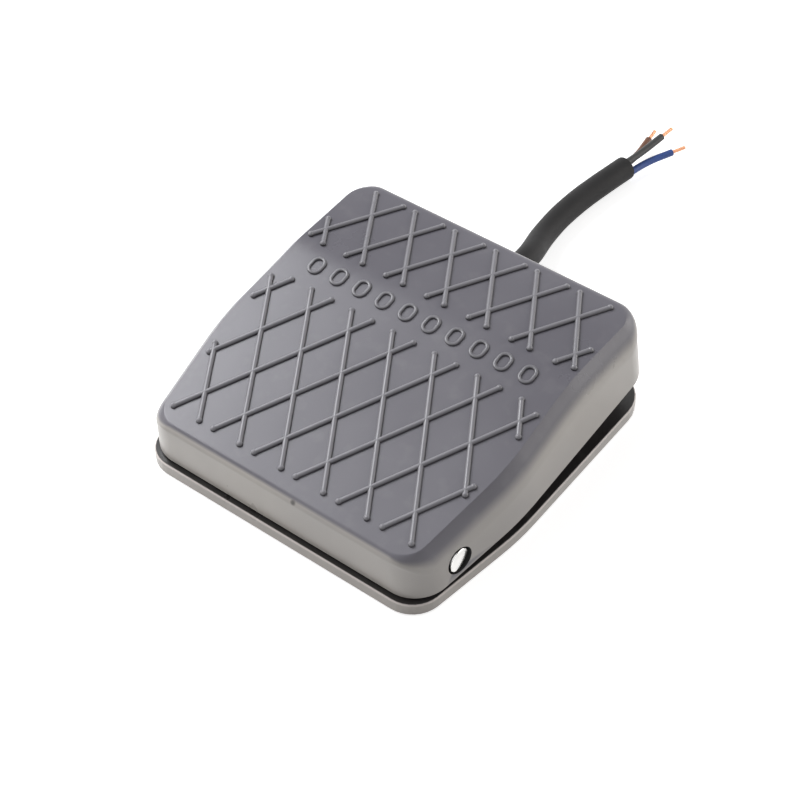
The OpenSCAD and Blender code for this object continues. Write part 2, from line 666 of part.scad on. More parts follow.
// Microswitch
shell_t = 0.8;
lid_t = 0.8;
inside_w = case_w - shell_t - lid_t;
pillar_d = 3.4;
ear_gap = 0.3;
lever_w = 3;
ear_t = case_w / 2 - lid_t - lever_w / 2 - ear_gap;
ear_l = 2.6;
hinge_d = 1.2;
hinge_clear = 0.05;
lever_gap = 0.75;
tip_down = [press_y - toe - pin_y, screw_tip_z - pin_z];
tip_rest = [toe + pin_y + tip_down.x * cos(rest_tilt) - tip_down.y * sin(rest_tilt),
            pin_z + tip_down.x * sin(rest_tilt) + tip_down.y * cos(rest_tilt)];
lever_rest = atan2(tip_rest.y - lever_gap - switch_hinge.y, tip_rest.x - switch_hinge.x);
echo(lever_rest = lever_rest);
plunger_d = 1.8;
plunger_arm = 5;
plunger_y = switch_hinge.x + plunger_arm;
plunger_top = 20.2;
plunger_foot = 16.95;
collar_d = 2.6;
collar_h = 0.6;
tab_w = 3.2;
tab_t = 0.5;
tab_foot = 4.2;
slot_clear = 0.05;
com_y = case_mid + 7.6;
no_y = case_mid - 0.2;
nc_y = case_mid - 8.7;
contact_y = case_mid - 7;
contact_d = 1.6;
com_top = 15.05;
knuckle_d = 0.7;
no_arm_z = 13.4;
no_contact_z = 14.2;
nc_arm_z = 16.95;
nc_contact_z = 16.55;
arm_t = 0.5;
blade_z = 15.65;
blade_t = 0.2;
blade_w = 2.6;
blade_contact_h = 0.4;
arm_end = 0.8;

module case_block(x0, x1)
    translate([x0, case_mid - case_l / 2, case_z]) cube([x1 - x0, case_l, case_h]);

module switch_case() color(switch_black) difference() {
    union() {
        difference() {
            case_block(-case_w / 2 + lid_t, case_w / 2);
            translate([-case_w, case_mid - case_l / 2 + shell_t, case_z + shell_t])
                cube([case_w * 1.5 - shell_t, case_l - 2 * shell_t, case_h - 2 * shell_t]);
        }
        for (s = [-1, 1]) translate([0, case_mid + s * switch_hole_pitch / 2, switch_hole_z])
            along_x(pillar_d, -case_w / 2 + lid_t, case_w / 2 - shell_t + over);
        both_sides() translate([lever_w / 2 + ear_gap, switch_hinge.x - ear_l / 2, case_z + case_h - over])
            cube([ear_t, ear_l, switch_hinge.y - case_z - case_h + ear_l / 2 + over]);
    }
    for (s = [-1, 1]) translate([0, case_mid + s * switch_hole_pitch / 2, switch_hole_z])
        along_x(switch_screw_d + 2 * switch_screw_clear, -case_w, case_w);
    translate([0, switch_hinge.x, switch_hinge.y]) along_x(hinge_d + 2 * hinge_clear, -case_w, case_w);
    translate([0, plunger_y, case_z + shell_t]) cylinder(d = plunger_d + 2 * hinge_clear, h = case_h + over);
    for (y = [com_y, no_y, nc_y])
        translate([-tab_w / 2 - slot_clear, y - slot_clear, case_z - over])
            cube([tab_w + 2 * slot_clear, tab_t + 2 * slot_clear, shell_t + 2 * over]);
}

module switch_lid() color(switch_red) difference() {
    case_block(-case_w / 2, -case_w / 2 + lid_t);
    for (s = [-1, 1]) translate([0, case_mid + s * switch_hole_pitch / 2, switch_hole_z])
        along_x(switch_screw_d + 2 * switch_screw_clear, -case_w, 0);
}

module switch_lever() color(steel) translate([0, switch_hinge.x, switch_hinge.y]) rotate([lever_rest, 0, 0]) {
    along_x(hinge_d, -lever_w / 2 - ear_gap - ear_t, lever_w / 2 + ear_gap + ear_t);
    translate([-lever_w / 2, 0, -lever_t / 2]) cube([lever_w, lever_l, lever_t]);
}

module switch_plunger() color(switch_red) translate([0, plunger_y, 0]) {
    translate([0, 0, plunger_foot]) cylinder(d = plunger_d, h = plunger_top - plunger_foot);
    translate([0, 0, plunger_foot]) cylinder(d = collar_d, h = collar_h);
}

module snap_blade() color(copper) {
    translate([-blade_w / 2, contact_y - arm_end, blade_z])
        cube([blade_w, com_y + tab_t / 2 - contact_y + arm_end, blade_t]);
    translate([0, com_y + tab_t / 2, blade_z + blade_t / 2]) along_x(knuckle_d, -blade_w / 2, blade_w / 2);
    translate([0, contact_y, blade_z - blade_contact_h])
        cylinder(d = contact_d, h = blade_t + 2 * blade_contact_h);
}

module strip(y, z0, z1) translate([-tab_w / 2, y, z0]) cube([tab_w, tab_t, z1 - z0]);
module com_terminal() color(brass) strip(com_y, tab_foot, com_top);
module no_terminal() color(brass) {
    strip(no_y, tab_foot, no_arm_z + arm_t);
    translate([-blade_w / 2, contact_y - arm_end, no_arm_z])
        cube([blade_w, no_y - contact_y + arm_end + tab_t, arm_t]);
    translate([0, contact_y, no_arm_z]) cylinder(d = contact_d, h = no_contact_z - no_arm_z);
}
module nc_terminal() color(brass) {
    strip(nc_y, tab_foot, nc_arm_z + arm_t);
    translate([-blade_w / 2, nc_y, nc_arm_z]) cube([blade_w, contact_y - nc_y + arm_end, arm_t]);
    translate([0, contact_y, nc_contact_z]) cylinder(d = contact_d, h = nc_arm_z + arm_t - nc_contact_z);
}

head_d = 3.8;
head_h = 1.4;
slot_w = 0.6;
slot_depth = 0.7;
switch_nut_af = 4;
switch_nut_t = 1.6;
module slotted_screw(d, l, hd, hh) difference() {
    union() {
        translate([0, 0, -over]) cylinder(d = d, h = l + over);
        translate([0, 0, -hh]) cylinder(d = hd, h = hh);
    }
    translate([-hd, -slot_w / 2, -hh - over]) cube([2 * hd, slot_w, slot_depth + over]);
}
module switch_screws() color(steel) for (s = [-1, 1])
    translate([-case_w / 2, case_mid + s * switch_hole_pitch / 2, switch_hole_z]) rotate([0, 90, 0])
        slotted_screw(switch_screw_d, case_w + wall_t + switch_nut_t + over, head_d, head_h);
module switch_nuts() color(steel) for (s = [-1, 1])
    translate([wall_x + wall_t, case_mid + s * switch_hole_pitch / 2, switch_hole_z]) rotate([0, 90, 0])
        difference() {
            cylinder(d = switch_nut_af / cos(30), h = switch_nut_t, $fn = 6);
            translate([0, 0, -over]) cylinder(d = switch_screw_d + 2 * thread_clear, h = switch_nut_t + 2 * over);
        }

module stop_buffers() color(rubber) both_sides()
    translate([buffer_x, buffer_y, floor_z]) cylinder(d = buffer_d, h = buffer_l);

clamp_head_d = 5.5;
clamp_head_h = 1.8;
clamp_l = 6;
module cord_clamp() color(switch_black) difference() {
    translate([cord_x - saddle_w / 2, saddle_y + (saddle_l - clamp_l) / 2, cord_z + saddle_gap / 2])
        cube([saddle_w, clamp_l, clamp_h]);
    translate([cord_x, saddle_y - over, cord_z]) rotate([-90, 0, 0])
        cylinder(d = cord_d + 2 * cord_clear, h = saddle_l + 2 * over);
    for (s = [-1, 1]) translate([cord_x + s * clamp_screw_x, saddle_y + saddle_l / 2, cord_z])
        cylinder(d = clamp_screw_d + 2 * switch_screw_clear, h = 2 * clamp_h);
}
module clamp_screws() color(steel) for (s = [-1, 1])
    translate([cord_x + s * clamp_screw_x, saddle_y + saddle_l / 2, cord_z + saddle_gap / 2 + clamp_h])
        rotate([180, 0, 0]) difference() {
            union() {
                cylinder(d = pilot_d - 2 * thread_clear, h = clamp_h + saddle_gap + cord_z / 2);
                cylinder(d = clamp_screw_d, h = clamp_h);
                translate([0, 0, -clamp_head_h]) cylinder(d = clamp_head_d, h = clamp_head_h);
            }
            translate([-clamp_head_d, -slot_w / 2, -clamp_head_h - over])
                cube([2 * clamp_head_d, slot_w, slot_depth + over]);
        }

// Cord, its gland and its cores
flange_t = 1.6;
flange_d = 11.8;
gland_grip = 0.05;
sleeve_l = 17;
module cable_gland() color(rubber) translate([cord_x, 0, cord_z]) rotate([-90, 0, 0]) difference() {
    union() {
        translate([0, 0, wall_in_y - flange_t]) cylinder(d = flange_d, h = flange_t);
        translate([0, 0, wall_in_y - over]) cylinder(d = gland_neck_d, h = upstand_t + 2 * over);
        translate([0, 0, wall_out_y]) cylinder(d1 = sleeve_root_d, d2 = sleeve_tip_d, h = sleeve_l);
    }
    translate([0, 0, wall_in_y - flange_t - over])
        cylinder(d = cord_d - 2 * gland_grip, h = flange_t + upstand_t + sleeve_l + 2 * over);
}

// Route of the cord, from its clamp inside to its bare end: across, back from the base's end, up
cord_points = [[-4, -19.5, 8.6], [-4, -12, 8.6], [-4, -4.5, 8.6], [-4, 4.5, 8.6], [-4, 14, 8.6], [-4.3, 18, 8.1],
               [-5.1, 22, 7.1], [-6.4, 26.5, 5.8], [-7.8, 31.5, 4.6], [-8.8, 37.5, 3.9], [-9.2, 43.5, 3.8],
               [-9.1, 49.5, 3.8], [-8.7, 55.5, 3.8], [-8, 61.5, 3.8], [-7, 68.5, 3.8], [-5.9, 75.5, 3.8]];
function from_heel(points) = [for (p = points) p + [0, heel, 0]];
cord_route = from_heel(cord_points);
cord_sides = 12;
module lead_cord() color(switch_black) tube(cord_route, cord_d, cord_sides);

core_sides = 8;
core_out = cord_route[len(cord_route) - 1];
core_com_route = concat(
    from_heel([[-2.2, -19.5, 8.9], [-2.2, -20.5, 8.9], [-2, -23.5, 7.8], [-1.4, -28.5, 6.2], [-0.5, -33.5, 5.5], [0, -38.5, 5.4]]),
    [[0, com_y + tab_t, 5.4]]);
core_no_route = concat(
    from_heel([[-4, -19.5, 6.5], [-4, -20.5, 6.5], [-4.6, -23.5, 5.7], [-6.2, -29.5, 4.6], [-7.4, -36.5, 4.2], [-7.6, -44.5, 4.2],
               [-6.8, -48.9, 4.5], [-5, -51, 5.1]]),
    [[-3, no_y + tab_t / 2, 5.4], [-tab_w / 2, no_y + tab_t / 2, 5.4]]);
core_nc_route = concat(
    from_heel([[-5.8, -19.5, 9], [-5.8, -20.5, 9], [-7.4, -24, 7.8], [-9.8, -30, 5.6], [-11, -37.5, 4.4], [-11.2, -45.5, 4.2],
               [-11, -53.5, 4.2], [-9.6, -57.9, 4.5], [-6.6, -59.8, 5.1]]),
    [[-3, nc_y + tab_t / 2, 5.4], [-tab_w / 2, nc_y + tab_t / 2, 5.4]]);
module core_com() color(brass) tube(core_com_route, core_d, core_sides);
module core_no() color(rubber) tube(core_no_route, core_d, core_sides);
module core_nc() color(nylon) tube(core_nc_route, core_d, core_sides);

// Stripped end: the cores leave the sheath straight, fan out, and end straight
lead_out_l = 17;
lead_straight_l = 2;
lead_last_l = 3;
tip_l = 5;
out_dir = unit(core_out - cord_route[len(cord_route) - 2]);
out_side = unit(cross(out_dir, [0, 0, 1]));
out_places = [[-1.8, -1.1], [0, 1.8], [1.8, -1.1]];
out_fan_shares = [[-0.24, 0.02], [0, 0.09], [0.24, 0.04]];
out_step_shares = [0, 0.12, 0.3, 0.48, 0.65, 1 - lead_last_l / lead_out_l];
function fanned(k, l) = let (bend = pow(max(0, l - lead_straight_l), 2) / lead_out_l)
    core_out + out_dir * l + out_side * (out_places[k].x + out_fan_shares[k].x * bend)
    + [0, 0, out_places[k].y + out_fan_shares[k].y * bend];
function fan_path(k) = [for (s = out_step_shares) fanned(k, s * lead_out_l)];
function fan_end(k, l) = let (p = fan_path(k), n = len(p) - 1) p[n] + unit(p[n] - p[n - 1]) * l;
module lead_cores() color(nylon) for (k = [0:2])
    tube(concat(fan_path(k), [fan_end(k, lead_last_l)]), core_d, core_sides);
module core_tips() color(copper) for (k = [0:2])
    tube([fan_end(k, lead_last_l), fan_end(k, lead_last_l + tip_l)], copper_d, core_sides);

base_tray();
rubber_feet();
hinge_pin();
pin_washers();
pin_clips();
pedal_cover();
actuator_screw();
lock_nut();
return_spring_left();
return_spring_right();
switch_case();
switch_lid();
switch_lever();
switch_plunger();
snap_blade();
com_terminal();
no_terminal();
nc_terminal();
switch_screws();
switch_nuts();
stop_buffers();
cord_clamp();
clamp_screws();
cable_gland();
lead_cord();
core_com();
core_no();
core_nc();
lead_cores();
core_tips();
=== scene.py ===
import bpy
import bmesh
from math import acos, asin, atan2, cos, hypot, pi, radians, sin, sqrt, tan
from mathutils import Matrix, Vector


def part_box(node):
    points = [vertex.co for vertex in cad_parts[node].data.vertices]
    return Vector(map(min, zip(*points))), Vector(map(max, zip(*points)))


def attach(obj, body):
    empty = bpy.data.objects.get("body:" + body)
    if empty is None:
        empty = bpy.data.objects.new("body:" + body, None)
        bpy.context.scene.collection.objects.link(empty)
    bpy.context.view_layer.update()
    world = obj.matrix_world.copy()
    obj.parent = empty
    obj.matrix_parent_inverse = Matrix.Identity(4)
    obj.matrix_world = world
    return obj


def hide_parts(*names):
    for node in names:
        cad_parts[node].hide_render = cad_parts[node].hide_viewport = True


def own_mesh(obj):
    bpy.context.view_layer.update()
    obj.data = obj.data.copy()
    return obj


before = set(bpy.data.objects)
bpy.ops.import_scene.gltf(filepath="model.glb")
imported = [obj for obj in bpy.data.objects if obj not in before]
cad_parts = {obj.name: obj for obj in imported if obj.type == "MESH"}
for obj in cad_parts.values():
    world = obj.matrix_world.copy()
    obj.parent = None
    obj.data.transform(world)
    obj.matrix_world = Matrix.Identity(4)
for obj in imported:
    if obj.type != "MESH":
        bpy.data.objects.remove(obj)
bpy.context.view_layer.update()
scene = bpy.context.scene
scene.view_settings.view_transform = "Standard"
mm = 0.001

# Camera: eye point in millimetres, angles in degrees, focal length in picture widths
camera = {"eye": (199.264, -263.121, 354.572), "elevation": 46.293, "azimuth": 36.888,
          "focal": 1794.12 / 800}

lens = bpy.data.cameras.new("camera")
lens.sensor_width = 36
lens.lens = camera["focal"] * lens.sensor_width
lens.clip_start = 0.01
eye = bpy.data.objects.new("camera", lens)
eye.location = Vector(camera["eye"]) * mm
eye.rotation_euler = (radians(90 - camera["elevation"]), 0, radians(camera["azimuth"]))
scene.collection.objects.link(eye)
scene.camera = eye
print("camera placed")

# Sizes in millimetres and angles in degrees. The pedal is drawn in its own frame, the foot of its
# skirt on z = 0 and its toe on y = 0, and then tilted to rest.
base = {"wide": 100, "toeWide": 89.2, "taper": 37, "bend": 90}
pedal = {
    "place": (0, -48.9, 4.3), "tilt": 5.7, "length": 98.6, "wall": 2.2, "setback": 1.6, "side": 0.1,
    "crestY": 66.8, "crestZ": 21.1, "blend": 2.6, "rise": 5.9, "fall": 4.4,
    "lean": 6.5, "toeLean": 2, "heelLean": 0.5, "shoulder": 14, "shoulderEdge": 45,
    "footCorner": 10.3, "treadCorner": 6.7, "toeEdge": 2, "heelEdge": 2.8, "leastEdge": 0.5,
    "footBreak": 0.3, "hollowFoot": -1,
    # rings of the skin and of the hollow, 1 at the top of the skirt and 0 on the tread
    "levels": [1, 0.93, 0.86, 0.79, 0.72, 0.64, 0.56, 0.48, 0.4, 0.32, 0.25, 0.18, 0.12, 0.07,
               0.03, 0.01, 0],
    "innerLevels": [1, 0.75, 0.5, 0.25, 0.1, 0],
    # how level the skin is where the skirts' paler colour starts, on the sides and at toe and heel:
    # painted light that stands in for light from below
    "skirtPaintedLightTop": (0.5, 0.86), "skirtPaintedLightFade": 0.2,
    # the next three are in the frame of the whole part, with the pedal down
    "screwBore": {"place": (0, 7.5), "from": 19.7, "to": 24.5, "radius": 1.52},
    "notch": {"x": -4, "z": 8.6, "radius": 6.6, "from": 46.1, "to": 60, "down": -9},
    "fittings": [  # radius, place, height of the foot
        (3, (-38, 38.5), 8.95), (3, (38, 38.5), 8.95), (4.5, (0, 7.5), 22.5)],
    "fittingsUnder": 1,
    # spring seats, radius and height of the foot, with the pedal at rest
    "seats": [(7.5, 26.5), (4.6, 22.5)], "seatAt": (26, 27.5), "seatHigh": 4.7,
    "stiffeners": {"thick": 1.6, "deep": 3, "under": 1.2, "into": 1.2, "inset": 1, "half": 41,
                   "along": (-13.5, 13.5), "across": (-17.5, 19.5)},
}
pin = {
    "y": -35, "z": 11, "radius": 3.5, "half": 46.2, "bore": 3.56, "mouth": 3.95, "mouthDeep": 2.6,
    "past": 60, "boreShadeMargin": 0.02, "bossRadius": 6.5, "bossFrom": 42.2, "bossTo": 44.4,
    "end": 3.35, "endBreak": 0.1, "neck": 0.9, "fullFrom": 1.3,
    "grooveAt": 34.9, "groove": 2.8, "grooveWide": 0.9,
}
pedalRest = Matrix.Translation(pedal["place"]) @ Matrix.Rotation(radians(pedal["tilt"]), 4, "X")


def link(obj):
    scene.collection.objects.link(obj)
    return obj


def lerp(a, b, t):
    return a + (b - a) * t


def clamp(value):
    return min(1, max(0, value))


def smooth(mesh, sharp=32):
    mesh.shade_smooth()
    mesh.set_sharp_from_angle(angle=radians(sharp))


# Turns a bmesh drawn in millimetres into an object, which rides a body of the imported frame
def settle(bm, name, body=None, node=None, place=Matrix(), sharp=32):
    bmesh.ops.recalc_face_normals(bm, faces=bm.faces)
    bmesh.ops.transform(bm, matrix=Matrix.Scale(mm, 4) @ place, verts=bm.verts)
    mesh = bpy.data.meshes.new(name)
    bm.to_mesh(mesh)
    bm.free()
    smooth(mesh, sharp)
    obj = link(bpy.data.objects.new(name, mesh))
    if body:
        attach(obj, body)
        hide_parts(node)
    return obj


# Takes a shape out of an object
def carve(target, bm, place=Matrix()):
    tool = settle(bm, "tool", place=place)
    cut = target.modifiers.new("cut", "BOOLEAN")
    cut.operation, cut.solver, cut.object = "DIFFERENCE", "EXACT", tool
    graph = bpy.context.evaluated_depsgraph_get()
    mesh = bpy.data.meshes.new_from_object(target.evaluated_get(graph))
    target.modifiers.clear()
    target.data = mesh
    bpy.data.objects.remove(tool)


# Adds a cylinder between two points
def rod(bm, start, end, radius, sides=48):
    start, end = Vector(start), Vector(end)
    turn = (end - start).to_track_quat("Z", "Y").to_matrix().to_4x4()
    bmesh.ops.create_cone(bm, cap_ends=True, segments=sides, radius1=radius, radius2=radius,
                          depth=(end - start).length,
                          matrix=Matrix.Translation((start + end) / 2) @ turn)


def block(bm, low, high):
    low, high = Vector(low), Vector(high)
    size = Matrix.Diagonal((*(high - low), 1))
    bmesh.ops.create_cube(bm, size=1, matrix=Matrix.Translation((low + high) / 2) @ size)


# Spins a half profile of (radius, height) about the axis of a placing matrix
def turned(bm, profile, place, steps=64):
    spun = bmesh.new()
    verts = [spun.verts.new((r, 0, h)) for r, h in profile]
    edges = [spun.edges.new(pair) for pair in zip(verts, verts[1:])]
    bmesh.ops.spin(spun, geom=verts + edges, cent=(0, 0, 0), axis=(0, 0, 1), angle=2 * pi,
                   steps=steps, use_merge=True)
    bmesh.ops.remove_doubles(spun, verts=spun.verts, dist=1e-4)
    bmesh.ops.transform(spun, matrix=place, verts=spun.verts)
    copies = {v: bm.verts.new(v.co) for v in spun.verts}
    for face in spun.faces:
        bm.faces.new([copies[v] for v in face.verts])
    spun.free()


# Points of an arc that rounds a corner
def roundCorner(before, point, after, radius, steps):
    a, b = (before - point).normalized(), (after - point).normalized()
    half = acos(a.dot(b)) / 2
    centre = point + (a + b).normalized() * radius / sin(half)
    start, end = point + a * radius / tan(half) - centre, point + b * radius / tan(half) - centre
    first = atan2(start.y, start.x)
    sweep = (atan2(end.y, end.x) - first + pi) % (2 * pi) - pi
    return [centre + Vector((cos(first + sweep * i / steps), sin(first + sweep * i / steps))) * radius
            for i in range(steps + 1)]


def pedalHalf(y):
    widened = min((y + pedal["setback"]) / base["taper"], 1)
    return lerp(base["toeWide"], base["wide"], widened) / 2 - pedal["side"]


def treadZ(y):
    u, up, down = y - pedal["crestY"], tan(radians(pedal["rise"])), tan(radians(pedal["fall"]))
    return pedal["crestZ"] + up * u - (up + down) / 2 * (u + hypot(u, pedal["blend"]))


# How far a level of the shell lies in from the foot of the skirt, and down from the tread
def shoulderIn(share, height, radius):
    lean, edge = radians(pedal["lean"]), sin(radians(pedal["shoulderEdge"]))
    drop = radius * (edge - sin(lean))
    away = radius * (cos(lean) - cos(asin(edge - share * drop / radius)))
    return tan(lean) * (height - drop) + away, share * drop


def edgeIn(share, height, radius, lean):
    away = radius * (1 - sqrt(1 - (1 - share) ** 2))
    return tan(radians(lean)) * (height - radius) + away, share * radius


arcSteps, bendSteps = 24, 10
crestStations = [-3, -2, -1.2, -0.6, 0, 0.6, 1.2, 2, 3]


# Right half of a ring from above: the arc of the toe corner, the bend of the side, the heel corner
def ringPlan(near, far, inset, side, sideHeel, corner):
    toePoint, heelPoint = Vector((0, near)), Vector((0, far))
    p1 = Vector((pedalHalf(near) - inset - side, near))
    p2 = Vector((pedalHalf(base["taper"]) - inset - side, base["taper"] - pedal["setback"]))
    p3 = Vector((pedalHalf(far) - inset - sideHeel, far))
    return (roundCorner(toePoint, p1, p2, corner, arcSteps),
            roundCorner(p1, p2, p3, base["bend"], bendSteps),
            roundCorner(p2, p3, heelPoint, corner, arcSteps))


def pedalRing(share, inset):
    toeZ, heelZ = treadZ(0) - inset, treadZ(pedal["length"]) - inset
    toeEdge = max(pedal["toeEdge"] - inset, pedal["leastEdge"])
    heelEdge = max(pedal["heelEdge"] - inset, pedal["leastEdge"])
    side, sideHeel = (shoulderIn(share, z, pedal["shoulder"] - inset) for z in (toeZ, heelZ))
    front = edgeIn(share, toeZ, toeEdge, pedal["toeLean"])
    back = edgeIn(share, heelZ, heelEdge, pedal["heelLean"])
    corner = lerp(pedal["treadCorner"], pedal["footCorner"], share) - inset
    toeArc, bend, heelArc = ringPlan(inset + front[0], pedal["length"] - inset - back[0], inset,
                                     side[0], sideHeel[0], corner)
    half = []
    for i, p in enumerate(toeArc):
        down = lerp(front[1], side[1], sin(pi / 2 * i / arcSteps) ** 2)
        half.append((p.x, p.y, treadZ(p.y) - inset - down))
    half += [(p.x, p.y, treadZ(p.y) - inset - side[1]) for p in bend]
    for station in crestStations:
        y = pedal["crestY"] + station * pedal["blend"]
        away, down = shoulderIn(share, treadZ(y) - inset, pedal["shoulder"] - inset)
        half.append((pedalHalf(y) - inset - away, y, treadZ(y) - inset - down))
    for i, p in enumerate(heelArc):
        down = lerp(back[1], sideHeel[1], cos(pi / 2 * i / arcSteps) ** 2)
        half.append((p.x, p.y, treadZ(p.y) - inset - down))
    return half


def footRing(inset, z):
    toeArc, bend, heelArc = ringPlan(inset, pedal["length"] - inset, inset, 0, 0,
                                     pedal["footCorner"] - inset)
    across = pedalHalf(pedal["crestY"]) - inset
    crest = [Vector((across, pedal["crestY"] + s * pedal["blend"])) for s in crestStations]
    return [(p.x, p.y, z) for p in toeArc + bend + crest + heelArc]


# Closed skin over rings of equal count, each given as its right half
def loft(halfRings):
    bm = bmesh.new()
    loops = []
    for half in halfRings:
        whole = half + [(-x, y, z) for x, y, z in reversed(half)]
        loops.append([bm.verts.new(p) for p in whole])
    size = len(loops[0])
    for low, high in zip(loops, loops[1:]):
        for i in range(size):
            bm.faces.new((low[i], low[(i + 1) % size], high[(i + 1) % size], high[i]))
    bm.faces.new(reversed(loops[0]))
    top = loops[-1]
    for i in range(size // 2 - 1):
        bm.faces.new((top[i], top[i + 1], top[size - 2 - i], top[size - 1 - i]))
    return bm


# Moves what is drawn in the frame of the whole part, with the pedal down, into the pedal's own frame
footArm = Vector((0, pedal["place"][1] - pin["y"], pedal["place"][2] - pin["z"]))
footDown = Vector((0, pin["y"], pin["z"])) + Matrix.Rotation(radians(-pedal["tilt"]), 3, "X") @ footArm
fromDown = Matrix.Translation(-footDown)


def drill(target, start, end, radius, sides=48):
    bm = bmesh.new()
    rod(bm, start, end, radius, sides)
    carve(target, bm, fromDown)


def buildPedal():
    skin = [footRing(pedal["footBreak"], 0), footRing(0, pedal["footBreak"])]
    outer = settle(loft(skin + [pedalRing(s, 0) for s in pedal["levels"]]), "pedalShell")
    hollow = [footRing(pedal["wall"], pedal["hollowFoot"])]
    carve(outer, loft(hollow + [pedalRing(s, pedal["wall"]) for s in pedal["innerLevels"]]))

    # Bore for the pin with a wider mouth at the skin, the screw's bore, the notch over the cord's sleeve
    y, z, past, step = pin["y"], pin["z"], pin["past"], pin["half"] - pin["mouthDeep"]
    drill(outer, (-past, y, z), (past, y, z), pin["bore"], 64)
    for side in (-1, 1):
        drill(outer, (side * step, y, z), (side * past, y, z), pin["mouth"], 64)
    screw, notch = pedal["screwBore"], pedal["notch"]
    x, z, near, far = notch["x"], notch["z"], notch["from"], notch["to"]
    drill(outer, (*screw["place"], screw["from"]), (*screw["place"], screw["to"]), screw["radius"], 32)
    drill(outer, (x, near, z), (x, far, z), notch["radius"])
    bm = bmesh.new()
    block(bm, (x - notch["radius"], near, notch["down"]), (x + notch["radius"], far, z))
    carve(outer, bm, fromDown)
    smooth(outer.data)

    # Painted light: 0 on the tread and the side shoulders, 1 on the skirts and down from the edges of toe
    # and heel, where a paler colour stands in for light from the floor
    skirtPaintedLight = outer.data.attributes.new("skirtPaintedLight", "FLOAT", "POINT")
    for vertex, value in zip(outer.data.vertices, skirtPaintedLight.data):
        normal = vertex.normal
        ends = normal.y ** 2 / max(normal.x ** 2 + normal.y ** 2, 1e-6)
        value.value = clamp((lerp(*pedal["skirtPaintedLightTop"], ends) - normal.z) / pedal["skirtPaintedLightFade"])
    outer.data.transform(Matrix.Scale(mm, 4) @ pedalRest @ Matrix.Scale(1 / mm, 4))
    outer.modifiers.new("normals", "WEIGHTED_NORMAL").keep_sharp = True
    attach(outer, "pedal")
    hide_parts("pedal_cover")
    return outer


# Bosses, posts and stiffeners, which end inside the wall
def buildFittings():
    bars, toPedal = pedal["stiffeners"], pedalRest.inverted()
    boss = [(pin["bore"], pin["bossFrom"]), (pin["bossRadius"], pin["bossFrom"]),
            (pin["bossRadius"], pin["bossTo"]), (pin["bore"], pin["bossTo"])]
    onPin = fromDown @ Matrix.Translation((0, pin["y"], pin["z"]))
    bm = bmesh.new()
    for side in (-1, 1):
        turned(bm, boss + boss[:1], onPin @ Matrix.Rotation(side * pi / 2, 4, "Y"))
        x, y = side * pedal["seatAt"][0], pedal["seatAt"][1]
        for radius, foot in pedal["seats"]:
            top = foot + pedal["seatHigh"]
            rod(bm, toPedal @ Vector((x, y, foot)), toPedal @ Vector((x, y, top)), radius)
    for radius, (x, y), foot in pedal["fittings"]:
        top = footDown.z + treadZ(y - footDown.y) - pedal["fittingsUnder"]
        rod(bm, fromDown @ Vector((x, y, foot)), fromDown @ Vector((x, y, top)), radius)
    for x in bars["along"]:
        stations = (bars["inset"], pedal["crestY"], pedal["length"] - bars["inset"])
        line = [(y, treadZ(y)) for y in stations]
        outline = [(y, z - pedal["wall"] - bars["deep"]) for y, z in line]
        outline += [(y, z - bars["under"]) for y, z in reversed(line)]
        face = bm.faces.new([bm.verts.new((x - bars["thick"] / 2, y, z)) for y, z in outline])
        moved = bmesh.ops.extrude_face_region(bm, geom=[face])["geom"]
        moved = [part for part in moved if isinstance(part, bmesh.types.BMVert)]
        bmesh.ops.translate(bm, vec=(bars["thick"], 0, 0), verts=moved)
    for y in bars["across"]:
        inside = footDown.z + treadZ(y - footDown.y) - pedal["wall"]
        low = Vector((-bars["half"], y, inside - bars["deep"]))
        high = Vector((bars["half"], y + bars["thick"], inside + bars["into"]))
        block(bm, fromDown @ low, fromDown @ high)
    return settle(bm, "pedalFittings", "pedal", "pedal_cover", pedalRest)


shell = buildPedal()
fittings = buildFittings()
print("pedal shell", len(shell.data.polygons), "faces")

relief = {
    "pitch": 13.5, "angle": 60, "margin": 7.2, "sharp": 50,
    "ribWide": 1.5, "ribHigh": 0.85, "ribSides": 24,
    "ballWide": 1.8, "ballHigh": 0.98, "ballSides": (20, 12),
    "toe": {"ribs": 8, "row": -29.4, "from": -60.15, "to": -12, "slope": 5.9},
    "heel": {"ribs": 7, "row": 7.2, "from": 2.4, "to": 27, "slope": -4.4},
    "marks": 10, "markStep": 7.6, "markY": -4.8, "markWide": 3.5, "markLong": 5.1, "markLine": 0.95,
    "markSteps": 10,
    # section of a mark, out from the middle of its line in halves of its width, and height
    "markSection": [(-1, -0.4), (-1, 0.3), (-0.6, 0.5), (0.6, 0.5), (1, 0.3), (1, -0.4)],
    "paintedShadeAndGateMark": 0.68,  # height to which painted shade reaches at the foot of a rib
}


# Ribs run on straight lines x = c + lean * s / run across a slope, between the ends of their field
def ribEnds(c, lean, field):
    run = tan(radians(relief["angle"])) * lean
    flat = pedalHalf(base["taper"]) - relief["margin"]
    slope = cos(radians(field["slope"]))
    rate = (base["wide"] - base["toeWide"]) / 2 / base["taper"] * slope
    wide = flat + rate * (pedal["crestY"] + pedal["setback"] - base["taper"]) / slope
    k, sign = 1 / run, 1 if lean > 0 else -1
    low = max(field["from"] / slope, (-sign * flat - c) / k, (-sign * wide - c) / (k + sign * rate))
    high = min(field["to"] / slope, (sign * flat - c) / k, (sign * wide - c) / (k - sign * rate))
    return Vector((c + k * low, low, 0)), Vector((c + k * high, high, 0))


# Marks the foot of a rib for painted shade, where its shadow falls: 1 at the tread, less higher up
def paintRibFootShade(bm, verts, place):
    foot, toTread = bm.verts.layers.float["foot"], place.inverted()
    for vert in verts:
        vert[foot] = clamp(1 - (toTread @ vert.co).z / relief["paintedShadeAndGateMark"])


